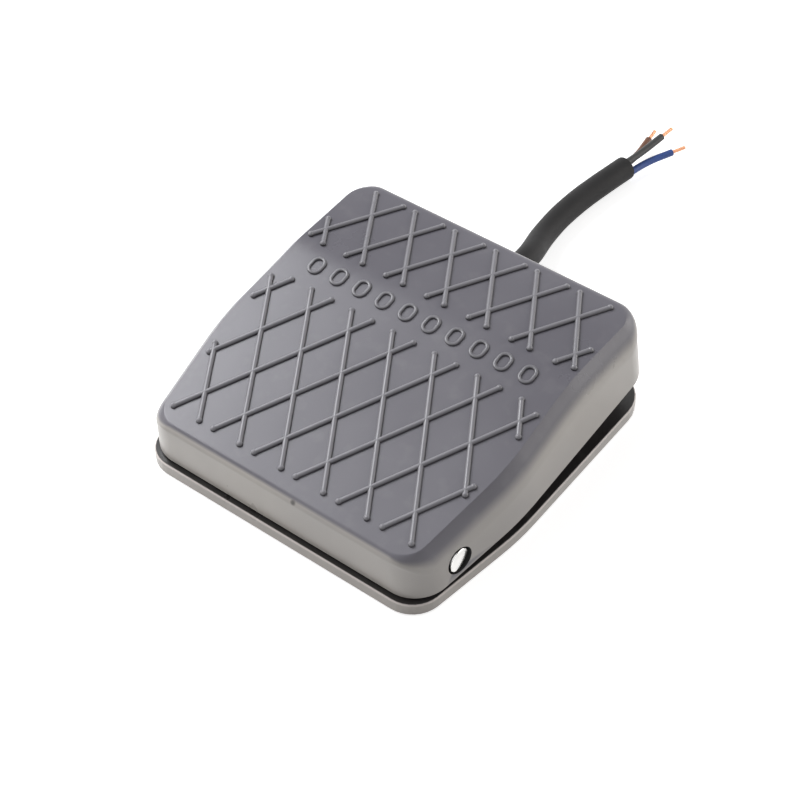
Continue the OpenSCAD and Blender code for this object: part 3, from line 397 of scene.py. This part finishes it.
def addRib(bm, start, end, place):
    turn = Matrix.Rotation(atan2((end - start).y, (end - start).x), 4, "Z")
    at = place @ Matrix.Translation((start + end) / 2) @ turn
    squash = Matrix.Diagonal((1, relief["ribWide"] / 2, relief["ribHigh"], 1))
    made = bmesh.ops.create_cone(bm, cap_ends=True, segments=relief["ribSides"],
                                 radius1=1, radius2=1, depth=(end - start).length,
                                 matrix=at @ squash @ Matrix.Rotation(pi / 2, 4, "Y"))["verts"]
    ball = Matrix.Diagonal((relief["ballWide"] / 2, relief["ballWide"] / 2, relief["ballHigh"], 1))
    around, rows = relief["ballSides"]
    for point in (start, end):
        made += bmesh.ops.create_uvsphere(bm, u_segments=around, v_segments=rows, radius=1,
                                          matrix=place @ Matrix.Translation(point) @ ball)["verts"]
    paintRibFootShade(bm, made, place)


# A raised loop: its section is carried round an oblong path
def addMark(bm, x, place):
    wide, straight = relief["markWide"] / 2, (relief["markLong"] - relief["markWide"]) / 2
    angles = [pi * i / relief["markSteps"] for i in range(relief["markSteps"] + 1)]
    path = [(x + wide * cos(start + a), relief["markY"] + s * straight + wide * sin(start + a))
            for s, start in ((1, 0), (-1, pi)) for a in angles]
    loops = []
    for i, (px, py) in enumerate(path):
        (ax, ay), (bx, by) = path[i - 1], path[(i + 1) % len(path)]
        reach = relief["markLine"] / 2 / hypot(bx - ax, by - ay)
        outX, outY = (by - ay) * reach, (ax - bx) * reach
        loops.append([bm.verts.new(place @ Vector((px + outX * u, py + outY * u, h)))
                      for u, h in relief["markSection"]])
    paintRibFootShade(bm, [vert for loop in loops for vert in loop], place)
    for i, loop in enumerate(loops):
        after = loops[(i + 1) % len(loops)]
        for k in range(len(loop)):
            bm.faces.new((loop[k - 1], loop[k], after[k], after[k - 1]))


# Frame of a slope of the tread, with its middle on the crest
def onSlope(degrees):
    crest = Matrix.Translation((0, pedal["crestY"], pedal["crestZ"]))
    return crest @ Matrix.Rotation(radians(degrees), 4, "X")


def buildRelief():
    bm = bmesh.new()
    bm.verts.layers.float.new("foot")
    run = tan(radians(relief["angle"]))
    for field in (relief["toe"], relief["heel"]):
        row = field["row"] / cos(radians(field["slope"]))
        for i in range(field["ribs"]):
            c = (i - (field["ribs"] - 1) / 2) * relief["pitch"]
            for lean in (1, -1):
                start, end = ribEnds(c - lean * row / run, lean, field)
                addRib(bm, start, end, onSlope(field["slope"]))
    for i in range(relief["marks"]):
        x = (i - (relief["marks"] - 1) / 2) * relief["markStep"]
        addMark(bm, x, onSlope(pedal["rise"]))
    return settle(bm, "treadRelief", "pedal", "pedal_cover", pedalRest, relief["sharp"])


treadRelief = buildRelief()
print("ribs and marks laid")


# Hinge pin with broken ends and a groove for each clip
def buildPin():
    half, r, end = pin["half"], pin["radius"], pin["end"]
    groove, wide, deep = pin["grooveAt"], pin["grooveWide"], pin["groove"]
    profile = [(0, -half), (end - pin["endBreak"], -half), (end, pin["endBreak"] - half),
               (end, pin["neck"] - half), (r, pin["fullFrom"] - half),
               (r, -groove - wide / 2), (deep, -groove - wide / 2),
               (deep, -groove + wide / 2), (r, -groove + wide / 2)]
    profile += [(radius, -height) for radius, height in reversed(profile)]
    bm = bmesh.new()
    along = Matrix.Translation((0, pin["y"], pin["z"])) @ Matrix.Rotation(pi / 2, 4, "Y")
    turned(bm, profile, along)
    return settle(bm, "turnedPin", "base", "hinge_pin")


turnedPin = buildPin()


spring = {
    "places": [(-26, 27.5), (26, 27.5)], "wire": 1.2, "radius": 6, "turns": 8, "endPitch": 1.8,
    "top": 26.5, "play": 0.02, "sides": 14, "steps": 28,
    "push": (0, -0.18, 0.98), "keep": 0.64,  # how the pedal presses them flat
}


# A return spring: a ring of wire swept round in three runs, the end turns closer
def buildSpring(name, node, x, y):
    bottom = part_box(node)[0][2]
    floor = bottom / mm + spring["play"] + spring["wire"] / 2
    rise = spring["top"] - spring["play"] - spring["wire"] / 2 - floor
    inner, close = spring["turns"] - 2, spring["endPitch"]
    bm = bmesh.new()
    ring = Matrix.Translation((x + spring["radius"], y, floor)) @ Matrix.Rotation(pi / 2, 4, "X")
    bmesh.ops.create_circle(bm, segments=spring["sides"], radius=spring["wire"] / 2, matrix=ring)
    first = list(bm.edges)
    loop = first + list(bm.verts)
    for turns, pitch in ((1, close), (inner, (rise - 2 * close) / inner), (1, close)):
        loop = bmesh.ops.spin(bm, geom=loop, cent=(x, y, 0), axis=(0, 0, 1),
                              dvec=(0, 0, pitch / spring["steps"]), angle=2 * pi * turns,
                              steps=turns * spring["steps"])["geom_last"]
    bmesh.ops.contextual_create(bm, geom=first)
    last = [part for part in loop if isinstance(part, bmesh.types.BMEdge)]
    bmesh.ops.contextual_create(bm, geom=last)
    piece = settle(bm, name, "base", node)
    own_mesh(piece)
    return piece


springs = [buildSpring(f"spring{side}", f"return_spring_{side.lower()}", x, y)
           for side, (x, y) in zip(("Left", "Right"), spring["places"])]
print("pin and springs made")


cord = {
    "sheath": 7.4, "core": 2.2, "copper": 1.2, "smooth": (8, 8),
    "route": [(-4, 31, 8.6), (-4, 38.5, 8.6), (-4, 46, 8.6), (-4, 55, 8.6), (-4, 64.5, 8.6),
              (-4.3, 68.5, 8.1), (-5.1, 72.5, 7.1), (-6.4, 77, 5.8), (-7.8, 82, 4.6), (-8.8, 88, 3.9),
              (-9.2, 94, 3.8), (-9.1, 100, 3.8), (-8.7, 106, 3.8), (-8, 112, 3.8), (-7, 119, 3.8),
              (-5.9, 126, 3.8)],
    "starts": [(-1.8, -1.1), (0, 1.8), (1.8, -1.1)], "fans": [(-0.24, 0.02), (0, 0.09), (0.24, 0.04)],
    "bare": 17, "straight": 2, "last": 3, "steps": [0, 0.12, 0.3, 0.48, 0.65, 1 - 3 / 17],
    # copper wires: their number, thickness, lay, play, length and knots, the length that the
    # insulation hides, and how much shorter than the next each is cut
    "strands": 7, "strand": 0.34, "twist": 7, "play": 0.03, "tip": 5, "knots": 9, "hidden": 0.6,
    "cutStep": 0.1, "cutSpread": 0.35, "strandSmooth": (2, 3),
}


# One round tube along each line of points
def tubeCurve(name, node, lines, diameter, smoothness):
    curve = bpy.data.curves.new(name, "CURVE")
    curve.dimensions = "3D"
    curve.bevel_depth = 1
    curve.bevel_resolution, curve.resolution_u = smoothness
    curve.use_fill_caps = True
    for points in lines:
        spline = curve.splines.new("BEZIER")
        spline.bezier_points.add(len(points) - 1)
        for knot, point in zip(spline.bezier_points, points):
            knot.co, knot.radius = Vector(point) * mm, diameter / 2 * mm
            knot.handle_left_type = knot.handle_right_type = "AUTO"
    tube = link(bpy.data.objects.new(name, curve))
    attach(tube, "base")
    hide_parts(node)
    return tube


sheath = tubeCurve("cordSheath", "lead_cord", [cord["route"]], cord["sheath"],
                   cord["smooth"])

lastPoint = Vector(cord["route"][-1])
heading = (lastPoint - Vector(cord["route"][-2])).normalized()
sideways = heading.cross(Vector((0, 0, 1))).normalized()


# The cores leave the sheath straight, fan out and end straight
def coreLine(start, fan):
    points = []
    for step in cord["steps"]:
        along = step * cord["bare"]
        bend = max(0, along - cord["straight"]) ** 2 / cord["bare"]
        points.append(lastPoint + heading * along + sideways * (start[0] + fan[0] * bend)
                      + Vector((0, 0, start[1] + fan[1] * bend)))
    return points, (points[-1] - points[-2]).normalized()


# Bare copper: one wire in the middle and the others twisted round it
def strandLines(end, aim):
    root, across = end + aim * (cord["last"] - cord["hidden"]), aim.cross(Vector((0, 0, 1))).normalized()
    over = across.cross(aim)
    lines = []
    for wire in range(cord["strands"]):
        reach = 0 if wire == 0 else (cord["copper"] - cord["strand"]) / 2 - cord["play"]
        length = cord["tip"] + cord["hidden"] - (cord["cutStep"] * wire) % cord["cutSpread"]
        line = []
        for knot in range(cord["knots"]):
            along = knot / (cord["knots"] - 1) * length
            angle = 2 * pi * (wire / (cord["strands"] - 1) + along / cord["twist"])
            line.append(root + aim * along + (across * cos(angle) + over * sin(angle)) * reach)
        lines.append(line)
    return lines


cores, strands = [], []
for number, (start, fan) in enumerate(zip(cord["starts"], cord["fans"]), 1):
    line, aim = coreLine(start, fan)
    cores.append(tubeCurve(f"cordCore{number}", "lead_cores",
                           [line + [line[-1] + aim * cord["last"]]], cord["core"], cord["smooth"]))
    strands.append(tubeCurve(f"copperStrands{number}", "core_tips",
                             strandLines(line[-1], aim), cord["strand"], cord["strandSmooth"]))


# Shader maths on sockets
class Wire:
    def __init__(self, paint, socket):
        self.paint, self.socket = paint, socket

    def maths(self, operation, other, swapped=False):
        pair = (other, self) if swapped else (self, other)
        return self.paint.add("ShaderNodeMath", {"operation": operation}, {0: pair[0], 1: pair[1]})

    def __add__(self, other): return self.maths("ADD", other)
    def __radd__(self, other): return self.maths("ADD", other, True)
    def __sub__(self, other): return self.maths("SUBTRACT", other)
    def __rsub__(self, other): return self.maths("SUBTRACT", other, True)
    def __mul__(self, other): return self.maths("MULTIPLY", other)
    def __rmul__(self, other): return self.maths("MULTIPLY", other, True)


class Paint:
    def __init__(self, name, colour, roughness, **fixed):
        self.material = bpy.data.materials.new(name)
        self.material.use_nodes = True
        self.nodes, self.links = self.material.node_tree.nodes, self.material.node_tree.links
        self.shader = next(n for n in self.nodes if n.type == "BSDF_PRINCIPLED")
        self.set("Base Color", colour)
        self.set("Roughness", roughness)
        for socket, value in fixed.items():
            self.set(socket.replace("_", " "), value)
        self.material.diffuse_color = (*colour[:3], 1)

    def put(self, socket, value):
        if isinstance(value, Wire):
            self.links.new(value.socket, socket)
        elif hasattr(value, "__len__") and socket.type == "RGBA":
            socket.default_value = (*value[:3], 1)
        else:
            socket.default_value = value

    def set(self, name, value):
        self.put(self.shader.inputs[name], value)

    def add(self, kind, settings=None, sockets=None, output=0):
        node = self.nodes.new(kind)
        for key, value in (settings or {}).items():
            setattr(node, key, value)
        for key, value in (sockets or {}).items():
            self.put(node.inputs[key], value)
        return Wire(self, node.outputs[output])

    def place(self):
        return self.add("ShaderNodeTexCoord", output="Object")

    def noise(self, scale, detail=3, roughness=0.5, where=None):
        return self.add("ShaderNodeTexNoise", None, {"Vector": where or self.place(), "Scale": scale,
                                                     "Detail": detail, "Roughness": roughness})

    def blend(self, factor, a, b):
        return self.add("ShaderNodeMix", {"data_type": "RGBA"}, {0: factor, 6: a, 7: b}, 2)

    def range(self, value, low, high, start=0.0, end=1.0):
        return self.add("ShaderNodeMapRange", None, {"Value": value, "From Min": low, "From Max": high,
                                                     "To Min": start, "To Max": end})

    def bump(self, height, distance, strength=1.0, under=None):
        sockets = {"Height": height, "Distance": distance, "Strength": strength}
        if under:
            sockets["Normal"] = under
        return self.add("ShaderNodeBump", None, sockets)


# Moulded plastic of the pedal and the base, one plastic painted as a shaded and a lit copy: cool, dark and
# glossy on the tread, warm and paler on the skirts, where the paler colour is painted light from below.
# Each range gives the noise or distance in metres from and to which a colour comes in, and how much.
plastic = {
    "tread": (0.112, 0.107, 0.127), "skirtPaintedLight": (0.385, 0.361, 0.333), "rim": (0.36, 0.332, 0.308),
    "gapShade": (0.022, 0.02, 0.02), "rib": (0.205, 0.2, 0.218), "paintedShadeAndGateMark": (0.012, 0.011, 0.012),
    "paintedSheen": (0.2, 0.196, 0.215), "dust": (0.34, 0.33, 0.32), "paintedEdgeHighlight": (0.72, 0.66, 0.63),
    "roughness": 0.32, "uneven": (0.22, 0.1), "cloud": 26, "grain": 2600,
    "paintedSheenRange": (0.42, 0.72, 0, 0.28), "dustRange": (0.55, 0.85, 0, 0.1),
    "gate": (0.0059, -0.0496, 0.0178), "gateRange": (0.0004, 0.001, 0.75, 0),
    "gapShadeRange": (0.00385, 0.00397), "paintedEdgeHighlightRange": (0.0034, 0.0036, 0, 0.7),
    "waveBump": (0.0007, 0.3), "grainBump": (0.00002, 0.25),
}


def mouldedPlastic(name, shade, other, mask, tread=False, paintedEdgeHighlight=None):
    paint = Paint(name, shade, plastic["roughness"], IOR=1.5)
    clouds, fine = paint.noise(plastic["cloud"], 2, 0.4), paint.noise(plastic["cloud"] * 8, 3)
    # A painted highlight can lighten a band of the surface
    bare = paint.blend(paintedEdgeHighlight(paint), shade, plastic["paintedEdgeHighlight"]) if paintedEdgeHighlight else shade
    colour = paint.blend(mask(paint), bare, other)
    if tread:
        # Painted sheen: lighter clouds on the tread stand in for soft reflections
        colour = paint.blend(paint.range(clouds, *plastic["paintedSheenRange"]), colour, plastic["paintedSheen"])
        # A small dark gate mark where the plastic was injected, in the same dark colour as the painted
        # shade
        ends = {0: paint.place(), 1: plastic["gate"]}
        away = paint.add("ShaderNodeVectorMath", {"operation": "DISTANCE"}, ends, 1)
        colour = paint.blend(paint.range(away, *plastic["gateRange"]), colour, plastic["paintedShadeAndGateMark"])
    dusty = paint.blend(paint.range(fine, *plastic["dustRange"]), colour, plastic["dust"])
    paint.set("Base Color", dusty)
    broad, small = plastic["uneven"]
    paint.set("Roughness", plastic["roughness"] + (clouds - 0.5) * broad + (fine - 0.5) * small)
    waves = paint.bump(clouds, *plastic["waveBump"])
    grain = paint.noise(plastic["grain"], 2)
    paint.set("Normal", paint.bump(grain, *plastic["grainBump"], waves))
    return paint.material


# Painted light: 1 where the skirts are painted paler
def skirtPaintedLightMask(paint):
    return paint.add("ShaderNodeAttribute", {"attribute_name": "skirtPaintedLight"}, output=2)


# Painted shade at the foot of the ribs and marks
def footShadeMask(paint):
    return paint.add("ShaderNodeAttribute", {"attribute_name": "foot"}, output=2)


def heightMask(paint, heights):
    return paint.range(paint.add("ShaderNodeSeparateXYZ", None, {0: paint.place()}, 2), *heights)


# Painted shade on the ledge and the dust wall, above the rim's broken edge, which lie in the pedal's shade
def gapShadeMask(paint):
    return heightMask(paint, plastic["gapShadeRange"])


# Painted highlight: the rim's top edge is painted pale
def edgeHighlightMask(paint):
    return heightMask(paint, plastic["paintedEdgeHighlightRange"])


rubber = {"shade": (0.022, 0.021, 0.021), "specular": 0.25, "mottle": 120, "dustRange": (0.45, 0.8),
          "dusty": 2.2, "uneven": 0.25, "grain": 1500, "grainBump": (0.00005, 0.35)}


def blackRubber(name, shade=rubber["shade"], roughness=0.5):
    paint = Paint(name, shade, roughness, Specular_IOR_Level=rubber["specular"])
    dust, dusty = paint.noise(rubber["mottle"], 4), tuple(rubber["dusty"] * c for c in shade)
    paint.set("Base Color", paint.blend(paint.range(dust, *rubber["dustRange"]), shade, dusty))
    paint.set("Roughness", roughness + (dust - 0.5) * rubber["uneven"])
    paint.set("Normal", paint.bump(paint.noise(rubber["grain"], 3), *rubber["grainBump"]))
    return paint.material


polish = {"brush": (40, 2600, 2600), "brushUneven": 0.2, "patch": 180, "patchRange": (0.4, 0.8),
          "patchUneven": 0.15, "dull": 0.8, "bump": (0.000004, 0.5)}


def metal(name, shade, roughness):
    paint = Paint(name, shade, roughness, Metallic=1.0)
    along = paint.add("ShaderNodeMapping", None, {"Vector": paint.place(), "Scale": polish["brush"]})
    lines, patches = paint.noise(1, 4, where=along), paint.noise(polish["patch"], 3)
    dull = tuple(polish["dull"] * c for c in shade)
    paint.set("Base Color", paint.blend(paint.range(patches, *polish["patchRange"]), shade, dull))
    paint.set("Roughness", roughness + (lines - 0.5) * polish["brushUneven"]
              + (patches - 0.5) * polish["patchUneven"])
    paint.set("Normal", paint.bump(lines, *polish["bump"]))
    return paint.material


moulding = {"mottle": 260, "mottleRange": (0.35, 0.8), "pale": 1.3, "uneven": 0.2,
            "grain": 2200, "grainBump": (0.00002, 0.3)}


def hardPlastic(name, shade, roughness=0.4):
    paint = Paint(name, shade, roughness)
    mottle, pale = paint.noise(moulding["mottle"], 4), tuple(min(1, moulding["pale"] * c) for c in shade)
    paint.set("Base Color", paint.blend(paint.range(mottle, *moulding["mottleRange"]), shade, pale))
    paint.set("Roughness", roughness + (mottle - 0.5) * moulding["uneven"])
    paint.set("Normal", paint.bump(paint.noise(moulding["grain"], 2), *moulding["grainBump"]))
    return paint.material


finishes = {
    # The base: the ledge and wall above the rim painted dark as shade, the rim's top edge painted with a
    # highlight
    "base_tray": mouldedPlastic("basePlastic", plastic["rim"], plastic["gapShade"], gapShadeMask, paintedEdgeHighlight=edgeHighlightMask),
    "rubber_feet": blackRubber("footRubber"),
    "stop_buffers": blackRubber("bufferRubber"),
    "hinge_pin": metal("pinSteel", (0.95, 0.94, 0.92), 0.2),
    "pin_washers": hardPlastic("washerNylon", (0.72, 0.70, 0.62), 0.45),
    "pin_clips": metal("clipSteel", (0.25, 0.25, 0.26), 0.35),
    # the pedal's skirts take a paler colour by the painted light mask
    "pedal_cover": mouldedPlastic("pedalPlastic", plastic["tread"], plastic["skirtPaintedLight"], skirtPaintedLightMask, True),
    "actuator_screw": metal("screwZinc", (0.72, 0.72, 0.70), 0.3),
    "lock_nut": metal("nutZinc", (0.72, 0.72, 0.70), 0.33),
    "return_spring_left": metal("springSteel", (0.42, 0.42, 0.43), 0.3),
    "return_spring_right": metal("springSteelRight", (0.42, 0.42, 0.43), 0.3),
    "switch_case": hardPlastic("caseBlack", (0.02, 0.02, 0.022)),
    "switch_lid": hardPlastic("lidRed", (0.22, 0.03, 0.02)),
    "switch_lever": metal("leverSteel", (0.75, 0.75, 0.73), 0.22),
    "switch_plunger": hardPlastic("plungerRed", (0.35, 0.03, 0.02), 0.3),
    "snap_blade": metal("bladeCopper", (0.75, 0.42, 0.25), 0.3),
    "com_terminal": metal("terminalBrass", (0.78, 0.62, 0.32), 0.32),
    "no_terminal": metal("terminalBrassOpen", (0.78, 0.62, 0.32), 0.32),
    "nc_terminal": metal("terminalBrassClosed", (0.78, 0.62, 0.32), 0.32),
    "switch_screws": metal("switchScrewZinc", (0.70, 0.70, 0.68), 0.34),
    "switch_nuts": metal("switchNutZinc", (0.70, 0.70, 0.68), 0.36),
    "cord_clamp": hardPlastic("clampNylon", (0.03, 0.03, 0.032), 0.5),
    "clamp_screws": metal("clampScrewZinc", (0.70, 0.70, 0.68), 0.34),
    "cable_gland": blackRubber("glandRubber", roughness=0.6),
    "core_com": hardPlastic("insulationBrown", (0.12, 0.045, 0.02), 0.45),
    "core_no": hardPlastic("insulationBlack", (0.02, 0.02, 0.02), 0.45),
    "core_nc": hardPlastic("insulationBlue", (0.02, 0.06, 0.24), 0.45),
    "core_tips": metal("copperStrands", (0.80, 0.42, 0.25), 0.35),
}
for node, finish in finishes.items():
    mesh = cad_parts[node].data
    mesh.materials.clear()
    mesh.materials.append(finish)

# The ribs are the pedal's plastic painted lighter as a painted highlight, with painted shade at their foot
treadRelief.data.materials.append(mouldedPlastic("ribPlastic", plastic["rib"], plastic["paintedShadeAndGateMark"], footShadeMask))
dressed = [(shell, "pedal_cover"), (fittings, "pedal_cover"), (turnedPin, "hinge_pin"),
           (springs[0], "return_spring_left"), (springs[1], "return_spring_right"),
           *((strand, "core_tips") for strand in strands)]
for piece, finish in dressed:
    piece.data.materials.clear()
    piece.data.materials.append(finishes[finish])

# Painted shade: the faces in the mouth of the pin's bore are made dark
shell.data.materials.append(blackRubber("boreShade", (0.008, 0.008, 0.008), 0.6))
for face in shell.data.polygons:
    corners = [shell.data.vertices[i].co / mm for i in face.vertices]
    if max(hypot(c.y - pin["y"], c.z - pin["z"]) for c in corners) < pin["mouth"] + pin["boreShadeMargin"]:
        face.material_index = 1
sheath.data.materials.append(blackRubber("cordRubber", (0.009, 0.0085, 0.0088), 0.6))
for core, finish in zip(cores, ("core_com", "core_no", "core_nc")):
    core.data.materials.append(finishes[finish])
print("finishes on", len(finishes), "nodes")

# Floor, backdrop and lamps
studio = {
    "floor": 3.0, "shade": (0.8, 0.797, 0.792), "matt": 0.9, "lift": 0.7,
    "world": (0.97, 0.98, 1.0), "worldLevel": 0.3,
    "lamps": [  # name, place and aim in metres, size in metres, watts, colour
        ("key", (-0.7, 0.06, 0.7), (0, 0, 0.02), 0.5, 9, (0.97, 0.98, 1.0)),
        ("front", (-0.95, -0.8, 0.25), (0, 0, 0.02), 1.3, 6.6, (1.0, 0.965, 0.93)),
        ("right", (0.8, 0.95, 0.2), (0, 0, 0.02), 1.3, 12, (1.0, 0.965, 0.93)),
    ],
}


# 1 where the camera looks at a thing, straight, by reflection or through glass
def seenRays(paint):
    camera, glossy, through = (paint.add("ShaderNodeLightPath", output=f"Is {kind} Ray")
                               for kind in ("Camera", "Glossy", "Transmission"))
    return camera + glossy + through


# The world's nodes
class Sky(Paint):
    def __init__(self, name):
        self.world = bpy.data.worlds.new(name)
        self.world.use_nodes = True
        self.nodes, self.links = self.world.node_tree.nodes, self.world.node_tree.links


def buildStudio():
    bm = bmesh.new()
    bmesh.ops.create_grid(bm, x_segments=1, y_segments=1, size=studio["floor"])
    mesh = bpy.data.meshes.new("floor")
    bm.to_mesh(mesh)
    bm.free()
    floor = link(bpy.data.objects.new("floor", mesh))
    paint = Paint("floorPaper", studio["shade"], studio["matt"], Specular_IOR_Level=0.0)
    lift = seenRays(paint) * studio["lift"]
    glow = paint.add("ShaderNodeEmission", None, {"Color": (1, 1, 1), "Strength": lift})
    lit = Wire(paint, paint.shader.outputs[0])
    both = paint.add("ShaderNodeAddShader", None, {0: lit, 1: glow})
    outlet = next(n for n in paint.nodes if n.type == "OUTPUT_MATERIAL")
    paint.links.new(both.socket, outlet.inputs["Surface"])
    mesh.materials.append(paint.material)

    sky = Sky("studio")
    plain = sky.add("ShaderNodeBackground", None, {"Color": studio["world"],
                                                   "Strength": studio["worldLevel"]})
    white = sky.add("ShaderNodeBackground", None, {"Color": (1, 1, 1), "Strength": 1.0})
    mix = sky.add("ShaderNodeMixShader", None, {0: seenRays(sky), 1: plain, 2: white})
    sky.links.new(mix.socket, next(n for n in sky.nodes if n.type == "OUTPUT_WORLD").inputs["Surface"])
    scene.world = sky.world

    for name, place, aim, size, watts, colour in studio["lamps"]:
        lamp = bpy.data.lights.new(name, "AREA")
        lamp.shape, lamp.size, lamp.energy, lamp.color = "SQUARE", size, watts, colour
        holder = link(bpy.data.objects.new(name, lamp))
        holder.location = place
        holder.rotation_euler = (Vector(aim) - Vector(place)).to_track_quat("-Z", "Y").to_euler()


buildStudio()
print("studio lit")
